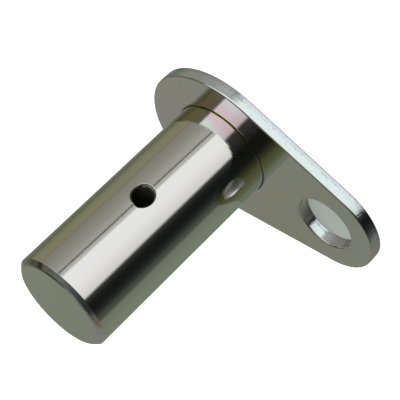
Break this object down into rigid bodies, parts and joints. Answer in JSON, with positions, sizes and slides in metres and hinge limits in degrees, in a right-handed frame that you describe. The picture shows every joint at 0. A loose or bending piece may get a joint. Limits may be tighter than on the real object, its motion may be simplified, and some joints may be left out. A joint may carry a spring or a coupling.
{
  "type": "flag head clevis pin",
  "caption": "Plain steel clevis pin welded into a pear-shaped flag, cross-drilled, with a bolt hole in the flag that keeps the pin from turning.",
  "frame": {"origin": "on the pin's axis at the flag's back face, where the pin's welded end is level with it", "axes": "+Z along the pin to its free end, +X along the flag from the pin to the bolt hole; the cross hole runs along Y"},
  "size_m": [0.0648, 0.0422, 0.0572],
  "materials": {
    "pin_zinc": "turned smooth, bright zinc plated, near mirror",
    "flag_zinc": "rolled sheet, bright zinc plated, faint rainbow tint",
    "weld_zinc": "weld bead under bright zinc plating, satin"
  },
  "bodies": {
    "root": {"pin": "pin_zinc", "flag_plate": "flag_zinc", "weld_bead": "weld_zinc"}
  },
  "joints": []
}
